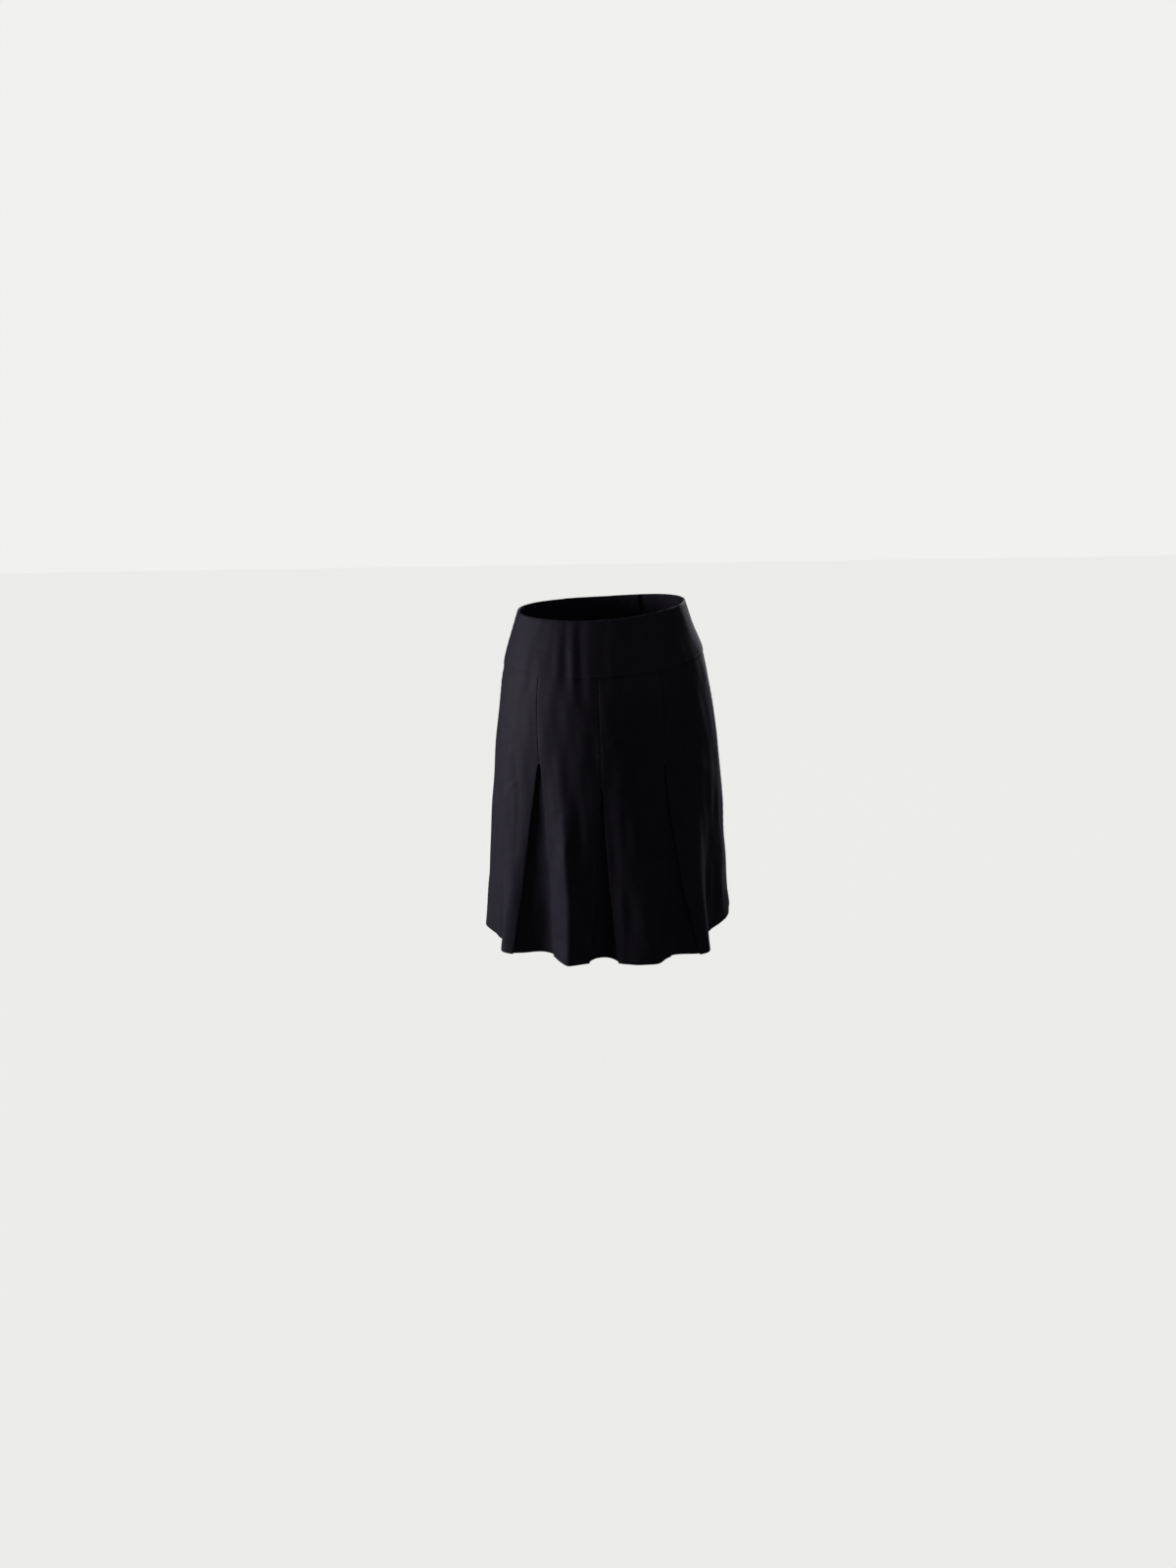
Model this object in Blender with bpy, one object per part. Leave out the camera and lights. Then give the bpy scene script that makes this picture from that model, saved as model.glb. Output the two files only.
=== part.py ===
"""A pleated wrap skirt, hollow and standing as it does when it is worn.

Metres, +Z up. The front faces -Y and the wearer's left is +X.
The origin is at the waist, just below the top edge.
Angles are in degrees round the skirt from centre back: 90 is the wearer's left side, 180 is centre front.
Drops are measured down from the top edge at centre back.
"""

import math
from collections import namedtuple

import bmesh
import bpy
from mathutils import Vector

# Cloth
CLOTH = 0.0015  # one layer of wool suiting
YOKE_CLOTH = 0.0018  # the yoke is stiffened, so its wall is thicker
SEAM_GAP = 0.0003  # between pieces that are sewn edge to edge
LAP_GAP = 0.0004  # between layers that lie on each other
FOLD_GAP = 0.0006  # inside a pressed fold

# Heights
TOP_ABOVE_ORIGIN = 0.010
YOKE_DEPTH = 0.080
YOKE_LAP = 0.008  # how far the panels run up behind the yoke
TUCK_ENDS = 0.115  # drop where the cloth below the yoke is back on the outline
LENGTH = 0.521
SIDE_RISE = 0.005  # the top edge and the yoke seam lie higher at the sides
WAIST_TILT = 0.045  # the wearer's left hip is lower: metres of drop for each metre to the left
HEM_TILT = 0.033
ROUNDNESS = 2.1  # exponent of the plan outline, 2 being an ellipse

# Side seams
LEFT_SEAM = 90.0
RIGHT_SEAM = -90.0

# Wrap
EDGE_AT_WAIST = 143.0  # angle of the outer apron's free edge
EDGE_AT_HEM = 150.0
UNDER_ENDS = 212.0  # angle where the inner apron ends, out of sight
UNDER_STARTS_SINKING = 104.0  # from here the inner apron dips below the outer one
UNDER_SUNK_BEFORE = 6.0  # degrees before the free edge where it is wholly below
UNDER_RISES_OVER = 0.080  # drop below the yoke seam over which it comes up again by a yoke's thickness

# Plan outline of the cloth at each drop. shift moves it to the wearer's left, as the hips lean.
Section = namedtuple("Section", "drop half_width shift back front")
SECTIONS = (
    Section(0.000, 0.1283, 0.0027, 0.1000, 0.0980),
    Section(0.034, 0.1395, 0.0027, 0.1135, 0.1045),
    Section(0.080, 0.1552, 0.0010, 0.1300, 0.1120),
    Section(0.124, 0.1625, 0.0000, 0.1405, 0.1170),
    Section(0.188, 0.1724, -0.0010, 0.1480, 0.1220),
    Section(0.254, 0.1793, -0.0010, 0.1515, 0.1270),
    Section(0.321, 0.1860, -0.0005, 0.1550, 0.1330),
    Section(0.389, 0.1915, 0.0000, 0.1590, 0.1390),
    Section(0.460, 0.1981, 0.0000, 0.1635, 0.1460),
    Section(0.521, 0.2050, 0.0000, 0.1680, 0.1520),
)

# Ridges and valleys: how far each stands out from the outline at the hem, and the drop where it begins
Fold = namedtuple("Fold", "hip_angle hem_angle stands_out begins")
FOLDS = (
    Fold(-89.0, -90.0, -0.005, 0.33),  # right side
    Fold(-66.0, -64.5, -0.023, 0.28),  # valley in front of the right back ridge
    Fold(-49.0, -48.0, 0.025, 0.20),  # right back ridge
    Fold(-36.5, -33.5, 0.006, 0.17),  # right pleat
    Fold(-23.0, -23.5, 0.019, 0.18),  # right centre back flute
    Fold(0.0, 1.5, -0.004, 0.21),  # centre pleat
    Fold(23.0, 17.0, 0.012, 0.18),  # left centre back flute
    Fold(36.5, 33.0, -0.017, 0.17),  # left pleat
    Fold(51.0, 53.0, 0.013, 0.22),  # left back ridge
    Fold(66.0, 65.0, -0.014, 0.30),  # valley in front of it
    Fold(89.0, 88.0, 0.002, 0.33),  # left side
    Fold(108.0, 107.0, -0.009, 0.28),
    Fold(127.0, 127.0, 0.010, 0.20),  # left front flute
    Fold(144.0, 146.0, -0.005, 0.24),
    Fold(163.0, 163.0, 0.009, 0.22),  # flute beside the free edge
    Fold(183.0, 184.0, -0.007, 0.24),
    Fold(205.0, 206.0, 0.011, 0.20),  # right front flute
    Fold(227.0, 228.0, -0.009, 0.24),
    Fold(248.0, 248.0, 0.007, 0.26),
)
FOLD_GROWTH = 1.1  # power of the growth from the drop where a fold begins to the hem

# Inverted pleats: the stitched line runs from seam_angle to opens_angle, and below the drop opens the edges part,
# to left_edge and right_edge at the hem. growth is the power of that opening, quick at first where it is below 1.
Pleat = namedtuple("Pleat", "seam_angle opens_angle opens left_edge right_edge growth floor_sinks")
PLEATS = {
    "left": Pleat(40.2, 36.8, 0.205, 48.0, 29.5, 0.68, 0.004),
    "centre": Pleat(0.5, 0.0, 0.235, 7.4, -7.3, 1.1, 0.010),
    "right": Pleat(-39.6, -35.6, 0.210, -34.0, -45.0, 1.2, 0.003),
}
RETURN_AT_YOKE = 0.028  # depth of the cloth that folds back behind each pleat edge
RETURN_AT_HEM = 0.014

# Buttons on the outer front yoke
BUTTON_RADIUS = 0.0075
BUTTON_THICKNESS = 0.0028
BUTTON_HOLE = 0.0008
BUTTON_HOLE_SPACING = 0.0017  # from the button's centre
BUTTON_FROM_EDGE = 0.016
BUTTON_DROPS = {"upper": 0.019, "lower": 0.058}
BUTTON_SEAT_GAP = 0.0005
BUTTON_SIDES = 24
BUTTON_HOLE_SIDES = 8

# A button's turned profile from the dished face over the rim to the flat back,
# in shares of its radius and thickness
ButtonPoint = namedtuple("ButtonPoint", "radius height")
BUTTON_PROFILE = (
    ButtonPoint(0.65, 0.75),
    ButtonPoint(0.76, 0.96),
    ButtonPoint(0.86, 1.00),
    ButtonPoint(0.96, 0.90),
    ButtonPoint(1.00, 0.55),
    ButtonPoint(0.95, 0.15),
    ButtonPoint(0.86, 0.00),
)

# Detail of the walls
YOKE_DROPS = (0.0, 0.017, 0.034, 0.053, YOKE_DEPTH - YOKE_LAP, YOKE_DEPTH)
CLOTH_DROPS = (
    YOKE_DEPTH - YOKE_LAP,
    YOKE_DEPTH,
    0.095,
    TUCK_ENDS,
    0.155,
    0.205,
    0.235,
    0.270,
    0.315,
    0.365,
    0.415,
    0.468,
    LENGTH,
)
BACK_YOKE_STEPS = 36
RETURN_STEPS = 3
TURN_STEPS = 4
CENTRE_PANEL_STEPS = 6
SIDE_PANEL_STEPS = 11
FLOOR_STEPS = 4
WRAP_STEPS = (12, 14, 12)  # side seam to free edge, free edge to inner end, inner end to side seam
SHARP_EDGE = 50.0  # edges sharper than this aren't smoothed
DIRECTION_STEP = 0.05  # degrees between the points that give the outline's direction

NAVY = (0.010, 0.010, 0.016)
NAVY_ROUGHNESS = 0.85
HORN = (0.012, 0.011, 0.013)
HORN_ROUGHNESS = 0.35


# ---- the worn surface ----


def mix(a, b, share):
    return a + (b - a) * share


def clamp(value):
    return max(0.0, min(1.0, value))


def ease(share):
    share = clamp(share)
    return share * share * (3.0 - 2.0 * share)


def through(points, x):
    """The value at x of a smooth curve through (x, y) points that never overshoots them."""
    xs = [p[0] for p in points]
    ys = [p[1] for p in points]
    if x <= xs[0]:
        return ys[0]
    if x >= xs[-1]:
        return ys[-1]
    last = len(xs) - 1
    i = max(k for k in range(last) if xs[k] <= x)

    def rise(k):
        return (ys[k + 1] - ys[k]) / (xs[k + 1] - xs[k])

    def slope(k):
        if k == 0 or k == last:
            return rise(min(k, last - 1))
        before, after = rise(k - 1), rise(k)
        if before * after <= 0.0:
            return 0.0
        return 2.0 * before * after / (before + after)

    width = xs[i + 1] - xs[i]
    t = (x - xs[i]) / width
    return (
        ys[i] * (1 + 2 * t) * (1 - t) ** 2
        + slope(i) * width * t * (1 - t) ** 2
        + ys[i + 1] * t * t * (3 - 2 * t)
        + slope(i + 1) * width * t * t * (t - 1)
    )


def section_at(drop):
    columns = range(1, len(Section._fields))
    return Section(drop, *(through([(s.drop, s[k]) for s in SECTIONS], drop) for k in columns))


def outline_radius(angle, section):
    turn = math.radians(angle)
    depth = section.back if math.cos(turn) > 0 else section.front
    across = abs(math.sin(turn) / section.half_width) ** ROUNDNESS
    along = abs(math.cos(turn) / depth) ** ROUNDNESS
    return (across + along) ** (-1.0 / ROUNDNESS)


def fold_points(drop):
    """(angle, distance from the outline) of every fold at this drop, run on past a whole turn at each end."""
    down = drop / LENGTH
    points = []
    for fold in FOLDS:
        grown = clamp((drop - fold.begins) / (LENGTH - fold.begins)) ** FOLD_GROWTH
        angle = mix(fold.hip_angle, fold.hem_angle, down)
        points.append((angle, fold.stands_out * grown))
    before = [(a - 360.0, d) for a, d in points[-2:]]
    after = [(a + 360.0, d) for a, d in points[:2]]
    return before + points + after


class Level:
    """The worn cloth's outer surface at one drop."""

    def __init__(self, drop):
        self.drop = drop
        self.section = section_at(drop)
        self.folds = fold_points(drop)

    def radius(self, angle):
        turned = (angle + 90.0) % 360.0 - 90.0
        return outline_radius(angle, self.section) + through(self.folds, turned)

    def flat(self, angle):
        turn = math.radians(angle)
        radius = self.radius(angle)
        return Vector((self.section.shift + math.sin(turn) * radius, math.cos(turn) * radius))

    def outward(self, angle):
        along = self.flat(angle + DIRECTION_STEP) - self.flat(angle - DIRECTION_STEP)
        return Vector((-along.y, along.x)).normalized()

    def leftward(self, angle):
        outward = self.outward(angle)
        return Vector((outward.y, -outward.x))

    def inset(self, angle, depth):
        """The point at this depth inside the outer surface."""
        return self.flat(angle) - self.outward(angle) * depth

    def step(self, distance, angle):
        """The angle that this distance along the cloth takes."""
        along = (self.flat(angle + 1.0) - self.flat(angle - 1.0)).length / 2.0
        return distance / along

    def worn(self, point):
        """Places a plan point at this level, with the tilt of the hips and the rise at the sides."""
        down = self.drop / LENGTH
        sideways = point.x**2 / point.length_squared
        rise = SIDE_RISE * sideways * (1.0 - down)
        tilt = mix(WAIST_TILT, HEM_TILT, down) * point.x
        return Vector((point.x, point.y, TOP_ABOVE_ORIGIN - self.drop + rise - tilt))


def tuck(drop):
    """How far the panels lie inside the outline, so that the yoke laps over their tops."""
    return (YOKE_CLOTH + LAP_GAP) * (1.0 - ease((drop - YOKE_DEPTH) / (TUCK_ENDS - YOKE_DEPTH)))


# ---- walls ----


def split_quad(shape, upper, lower, i):
    """Two triangles between points i and i + 1 of two rows, split the same way in every layer."""
    a, b, c, d = upper[i], upper[i + 1], lower[i + 1], lower[i]
    leftwards = a.co.x * b.co.y - a.co.y * b.co.x < 0.0
    if leftwards:
        shape.faces.new((a, b, c))
        shape.faces.new((a, c, d))
    else:
        shape.faces.new((a, b, d))
        shape.faces.new((b, c, d))


def add_wall(name, rows, material):
    """A cloth wall through rows of (outer, inner) points from the top down, closed at its edges."""
    outline = bmesh.new()
    grid = [[[outline.verts.new(p) for p in side] for side in row] for row in rows]
    last = len(rows[0][0]) - 1
    for upper, lower in zip(grid, grid[1:]):
        for i in range(last):
            split_quad(outline, upper[0], lower[0], i)
            split_quad(outline, upper[1], lower[1], i)
        for i in (0, last):
            outline.faces.new((upper[0][i], lower[0][i], lower[1][i], upper[1][i]))
    for row in (grid[0], grid[-1]):
        for i in range(last):
            outline.faces.new((row[0][i], row[0][i + 1], row[1][i + 1], row[1][i]))
    bmesh.ops.recalc_face_normals(outline, faces=outline.faces)
    mesh = bpy.data.meshes.new(name)
    outline.to_mesh(mesh)
    outline.free()
    mesh.shade_smooth()
    mesh.set_sharp_from_angle(angle=math.radians(SHARP_EDGE))
    mesh.materials.append(material)
    piece = bpy.data.objects.new(name, mesh)
    bpy.context.scene.collection.objects.link(piece)
    return piece


def spread(start, end, steps):
    return [mix(start, end, k / steps) for k in range(steps + 1)]


def layer(level, angles, depth, wall):
    """Outer and inner points of one plain layer. depth is a function of the angle."""
    outer = [level.worn(level.inset(a, depth(a))) for a in angles]
    inner = [level.worn(level.inset(a, depth(a) + wall)) for a in angles]
    return outer, inner


# ---- pleats ----


def pleat_edges(pleat, drop):
    """The angles of a pleat's left and right edges, which meet where the pleat is stitched."""
    stitched = clamp((drop - YOKE_DEPTH) / (pleat.opens - YOKE_DEPTH))
    middle = mix(pleat.seam_angle, pleat.opens_angle, stitched)
    opened = clamp((drop - pleat.opens) / (LENGTH - pleat.opens)) ** pleat.growth
    return mix(middle, pleat.left_edge, opened), mix(middle, pleat.right_edge, opened)


def return_depth(drop):
    return mix(RETURN_AT_YOKE, RETURN_AT_HEM, (drop - YOKE_DEPTH) / (LENGTH - YOKE_DEPTH))


def return_angles(level, edge, side):
    """Angles from a pleat edge to the end of the cloth folded back behind it on this side, 1 being left."""
    turn_radius = CLOTH + FOLD_GAP / 2.0
    start = edge + side * level.step(turn_radius + SEAM_GAP / 2.0, edge)
    return spread(start, start + side * level.step(return_depth(level.drop), start), RETURN_STEPS)


def folded_edge(level, edge, side):
    """(outer, inner) plan points of a pressed pleat edge, from the end of the return to the panel's face."""
    angles = return_angles(level, edge, side)
    inside = tuck(level.drop)
    outer = [level.inset(a, inside + 2 * CLOTH + FOLD_GAP) for a in reversed(angles)]
    inner = [level.inset(a, inside + CLOTH + FOLD_GAP) for a in reversed(angles)]
    centre = level.inset(angles[0], inside + CLOTH + FOLD_GAP / 2.0)
    outward = level.outward(angles[0])
    beyond = level.leftward(angles[0]) * -side
    for k in range(1, TURN_STEPS):
        turn = math.pi * (k / TURN_STEPS - 0.5)
        towards = beyond * math.cos(turn) + outward * math.sin(turn)
        outer.append(centre + towards * (CLOTH + FOLD_GAP / 2.0))
        inner.append(centre + towards * (FOLD_GAP / 2.0))
    outer += [level.inset(a, inside) for a in angles]
    inner += [level.inset(a, inside + CLOTH) for a in angles]
    return outer, inner, angles[-1]


def panel_row(level, right, left, steps):
    """One row of a panel between two ends, each a pleat's name or the angle of a side seam."""
    inside = tuck(level.drop)
    outer, inner = [], []
    if right in PLEATS:
        edge = pleat_edges(PLEATS[right], level.drop)[0]
        outer, inner, start = folded_edge(level, edge, 1)
    else:
        start = right + level.step(SEAM_GAP / 2.0, right)
    if left in PLEATS:
        edge = pleat_edges(PLEATS[left], level.drop)[1]
        end_outer, end_inner, end = folded_edge(level, edge, -1)
    else:
        end_outer, end_inner = [], []
        end = left - level.step(SEAM_GAP / 2.0, left)
    angles = spread(start, end, steps)
    first = 1 if outer else 0
    last = -1 if end_outer else None
    plain = angles[first:last]
    outer += [level.inset(a, inside) for a in plain] + end_outer[::-1]
    inner += [level.inset(a, inside + CLOTH) for a in plain] + end_inner[::-1]
    return [level.worn(p) for p in outer], [level.worn(p) for p in inner]


def add_back_panel(name, right, left, steps, material):
    rows = [panel_row(Level(drop), right, left, steps) for drop in CLOTH_DROPS]
    return add_wall(name, rows, material)


def underlay_row(level, pleat):
    """One row of the cloth behind a pleat, whose middle sinks a little as the pleat opens."""
    left, right = pleat_edges(pleat, level.drop)
    behind_left = return_angles(level, left, 1)
    behind_right = return_angles(level, right, -1)
    floor = spread(behind_right[0], behind_left[0], FLOOR_STEPS)
    opened = clamp((level.drop - pleat.opens) / (LENGTH - pleat.opens))
    stack = tuck(level.drop) + 2 * CLOTH + FOLD_GAP + LAP_GAP

    def depth(angle):
        across = (angle - floor[0]) / (floor[-1] - floor[0])
        if not 0.0 < across < 1.0:
            return stack
        return stack + pleat.floor_sinks * opened * math.sin(math.pi * across)

    return layer(level, behind_right[::-1] + floor[1:-1] + behind_left, depth, CLOTH)


def add_underlay(name, pleat, material):
    return add_wall(name, [underlay_row(Level(drop), pleat) for drop in CLOTH_DROPS], material)


# ---- wrap front ----


def free_edge(level):
    return mix(EDGE_AT_WAIST, EDGE_AT_HEM, level.drop / LENGTH)


def wrap_angles(level):
    """The front's angles: left side seam to free edge, to the inner apron's end, to the right side seam."""
    edge = free_edge(level)
    start = LEFT_SEAM + level.step(SEAM_GAP / 2.0, LEFT_SEAM)
    end = RIGHT_SEAM + 360.0 - level.step(SEAM_GAP / 2.0, RIGHT_SEAM)
    return (
        spread(start, edge, WRAP_STEPS[0]),
        spread(edge, UNDER_ENDS, WRAP_STEPS[1]),
        spread(UNDER_ENDS, end, WRAP_STEPS[2]),
    )


def outer_angles(level):
    _, overlap, beyond = wrap_angles(level)
    return overlap + beyond[1:]


def inner_angles(level):
    before, overlap, _ = wrap_angles(level)
    return before + overlap[1:]


def sunk(level, angle):
    """How far the inner front lies below the outer one: two laps deep at the yoke, one layer deep below it."""
    sunk_at = free_edge(level) - UNDER_SUNK_BEFORE
    under = ease((angle - UNDER_STARTS_SINKING) / (sunk_at - UNDER_STARTS_SINKING))
    at_yoke = YOKE_CLOTH + LAP_GAP + CLOTH + LAP_GAP
    below = CLOTH + LAP_GAP
    return under * mix(at_yoke, below, ease((level.drop - YOKE_DEPTH) / UNDER_RISES_OVER))


def front_rows(drops, angles_of, depth, wall):
    rows = []
    for drop in drops:
        level = Level(drop)
        rows.append(layer(level, angles_of(level), lambda a, at=level: depth(at, a), wall))
    return rows


def add_fronts(cloth):
    fronts = (
        ("front_yoke_outer", YOKE_DROPS, outer_angles, lambda at, a: 0.0, YOKE_CLOTH),
        ("front_yoke_inner", YOKE_DROPS, inner_angles, sunk, YOKE_CLOTH),
        ("front_apron_outer", CLOTH_DROPS, outer_angles, lambda at, a: tuck(at.drop), CLOTH),
        ("front_apron_inner", CLOTH_DROPS, inner_angles, lambda at, a: tuck(at.drop) + sunk(at, a), CLOTH),
    )
    for name, drops, angles_of, depth, wall in fronts:
        add_wall(name, front_rows(drops, angles_of, depth, wall), cloth)


def add_back_yoke(material):
    rows = []
    for drop in YOKE_DROPS:
        level = Level(drop)
        half_gap = level.step(SEAM_GAP / 2.0, LEFT_SEAM)
        angles = spread(RIGHT_SEAM + half_gap, LEFT_SEAM - half_gap, BACK_YOKE_STEPS)
        rows.append(layer(level, angles, lambda a: 0.0, YOKE_CLOTH))
    add_wall("back_yoke", rows, material)


# ---- buttons ----


def button_mesh(name, material):
    """A round four-hole sew-through button, its back at z = 0."""
    shape = bmesh.new()
    rings = []
    turns = [2 * math.pi * k / BUTTON_SIDES for k in range(BUTTON_SIDES)]
    for point in BUTTON_PROFILE:
        radius, height = BUTTON_RADIUS * point.radius, BUTTON_THICKNESS * point.height
        rings.append([shape.verts.new((radius * math.cos(t), radius * math.sin(t), height)) for t in turns])
    for upper, lower in zip(rings, rings[1:]):
        for k in range(BUTTON_SIDES):
            after = (k + 1) % BUTTON_SIDES
            shape.faces.new((upper[k], lower[k], lower[after], upper[after]))
    shape.faces.new(rings[0])
    shape.faces.new(rings[-1][::-1])
    bmesh.ops.recalc_face_normals(shape, faces=shape.faces)
    mesh = bpy.data.meshes.new(name)
    shape.to_mesh(mesh)
    shape.free()
    mesh.materials.append(material)
    return mesh


def hole_cutter(material):
    """Four thin pegs that cut a button's holes."""
    shape = bmesh.new()
    for x in (-BUTTON_HOLE_SPACING, BUTTON_HOLE_SPACING):
        for y in (-BUTTON_HOLE_SPACING, BUTTON_HOLE_SPACING):
            peg = bmesh.ops.create_cone(
                shape,
                cap_ends=True,
                segments=BUTTON_HOLE_SIDES,
                radius1=BUTTON_HOLE,
                radius2=BUTTON_HOLE,
                depth=4 * BUTTON_THICKNESS,
            )
            bmesh.ops.translate(shape, verts=peg["verts"], vec=(x, y, BUTTON_THICKNESS / 2))
    mesh = bpy.data.meshes.new("hole_pegs")
    shape.to_mesh(mesh)
    shape.free()
    mesh.materials.append(material)
    return mesh


def add_button(which, drop, material):
    """Seats a button flat on the outer yoke, beside the free edge."""
    level = Level(drop)
    edge = free_edge(level)
    angle = edge + level.step(BUTTON_FROM_EDGE, edge)
    above, below = Level(drop - BUTTON_RADIUS / 2.0), Level(drop + BUTTON_RADIUS / 2.0)
    down = below.worn(below.flat(angle)) - above.worn(above.flat(angle))
    across = level.leftward(angle).to_3d()
    facing = across.cross(down).normalized()
    if facing.dot(level.outward(angle).to_3d()) < 0:
        facing.negate()
    turn = facing.to_track_quat("Z", "Y")
    seat = level.worn(level.flat(angle)) + facing * BUTTON_SEAT_GAP
    cutter = bpy.data.objects.new(f"button_{which}_holes", hole_cutter(material))
    button = bpy.data.objects.new(f"button_{which}", button_mesh(f"button_{which}", material))
    for piece in (cutter, button):
        piece.rotation_mode = "QUATERNION"
        piece.rotation_quaternion = turn
        piece.location = seat
        bpy.context.scene.collection.objects.link(piece)
    cutter.hide_render = True
    cutter.display_type = "WIRE"
    cut = button.modifiers.new("holes", "BOOLEAN")
    cut.operation = "DIFFERENCE"
    cut.object = cutter


# ---- materials and assembly ----


def plain_material(name, colour, roughness):
    material = bpy.data.materials.new(name)
    material.use_nodes = True
    shader = material.node_tree.nodes["Principled BSDF"]
    shader.inputs["Base Color"].default_value = (*colour, 1.0)
    shader.inputs["Roughness"].default_value = roughness
    shader.inputs["Metallic"].default_value = 0.0
    return material


def clear_scene():
    for existing in list(bpy.data.objects):
        bpy.data.objects.remove(existing, do_unlink=True)


def main():
    clear_scene()
    cloth = plain_material("navy_wool", NAVY, NAVY_ROUGHNESS)
    horn = plain_material("dark_horn", HORN, HORN_ROUGHNESS)
    add_back_yoke(cloth)
    add_fronts(cloth)
    add_back_panel("back_panel_side_right", RIGHT_SEAM, "right", SIDE_PANEL_STEPS, cloth)
    add_back_panel("back_panel_centre_right", "right", "centre", CENTRE_PANEL_STEPS, cloth)
    add_back_panel("back_panel_centre_left", "centre", "left", CENTRE_PANEL_STEPS, cloth)
    add_back_panel("back_panel_side_left", "left", LEFT_SEAM, SIDE_PANEL_STEPS, cloth)
    for side, pleat in PLEATS.items():
        add_underlay(f"pleat_underlay_{side}", pleat, cloth)
    for which, drop in BUTTON_DROPS.items():
        add_button(which, drop, horn)


main()
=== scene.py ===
import math

import bmesh
import bpy
import numpy as np
from mathutils import Matrix, Vector


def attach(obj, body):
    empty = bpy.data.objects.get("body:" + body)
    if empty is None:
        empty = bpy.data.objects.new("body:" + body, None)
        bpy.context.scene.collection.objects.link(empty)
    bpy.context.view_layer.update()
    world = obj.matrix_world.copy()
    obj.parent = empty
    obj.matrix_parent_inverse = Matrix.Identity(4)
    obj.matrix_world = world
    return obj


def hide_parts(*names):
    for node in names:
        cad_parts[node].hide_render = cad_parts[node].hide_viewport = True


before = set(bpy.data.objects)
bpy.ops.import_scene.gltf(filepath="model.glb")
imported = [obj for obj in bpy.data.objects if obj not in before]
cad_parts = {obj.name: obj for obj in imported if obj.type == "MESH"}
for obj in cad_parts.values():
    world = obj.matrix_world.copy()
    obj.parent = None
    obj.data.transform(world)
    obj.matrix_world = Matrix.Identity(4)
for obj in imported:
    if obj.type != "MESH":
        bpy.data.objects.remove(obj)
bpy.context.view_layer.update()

# Metres, +Z up, the front towards -Y and the wearer's left towards +X.
# Angles are degrees round the skirt from centre back, 90 at the wearer's left.
# Drops run down from the top edge.

cut = {
    "length": 0.521,
    "topAboveOrigin": 0.010,
    "yokeDepth": 0.080,
    "yokeLap": 0.008,
    "tuckEnds": 0.115,
    "sideRise": 0.005,
    "waistTilt": 0.045,
    "hemTilt": 0.033,
    "roundness": 2.1,  # the power of the oval, where 2 is an ellipse
    "leftSeam": 90.0,
    "rightSeam": -90.0,
    "seamGap": 0.0001,
    "yokeStep": 0.0013,  # how far the panels lie below the yoke's face at its lower edge
    "foldGrowth": 1.1,
}

# drop, half width, shift to the wearer's left, depth at the back, depth at the front
sections = (
    (0.000, 0.1283, 0.0027, 0.1000, 0.0980),
    (0.034, 0.1395, 0.0027, 0.1135, 0.1045),
    (0.080, 0.1552, 0.0010, 0.1300, 0.1120),
    (0.124, 0.1625, 0.0000, 0.1405, 0.1170),
    (0.188, 0.1724, -0.0010, 0.1480, 0.1220),
    (0.254, 0.1793, -0.0010, 0.1515, 0.1270),
    (0.321, 0.1860, -0.0005, 0.1550, 0.1330),
    (0.389, 0.1915, 0.0000, 0.1590, 0.1390),
    (0.460, 0.1981, 0.0000, 0.1635, 0.1460),
    (0.521, 0.2050, 0.0000, 0.1680, 0.1520),
)

# the large folds: angle at the hip, angle at the hem, how far it stands out at the hem, drop where it begins
folds = (
    (-89.0, -90.0, -0.005, 0.33),
    (-66.0, -64.5, -0.023, 0.28),
    (-49.0, -48.0, 0.025, 0.20),
    (-36.5, -33.5, 0.006, 0.17),
    (-23.0, -23.5, 0.019, 0.18),
    (0.0, 1.5, -0.004, 0.21),
    (23.0, 17.0, 0.012, 0.18),
    (36.5, 33.0, -0.017, 0.17),
    (51.0, 53.0, 0.013, 0.22),
    (66.0, 65.0, -0.014, 0.30),
    (89.0, 88.0, 0.002, 0.33),
    (108.0, 107.0, -0.009, 0.28),
    (127.0, 127.0, 0.010, 0.20),
    (144.0, 146.0, -0.005, 0.24),
    (163.0, 163.0, 0.009, 0.22),
    (183.0, 184.0, -0.007, 0.24),
    (205.0, 206.0, 0.011, 0.20),
    (227.0, 228.0, -0.009, 0.24),
    (248.0, 248.0, 0.007, 0.26),
)

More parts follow.
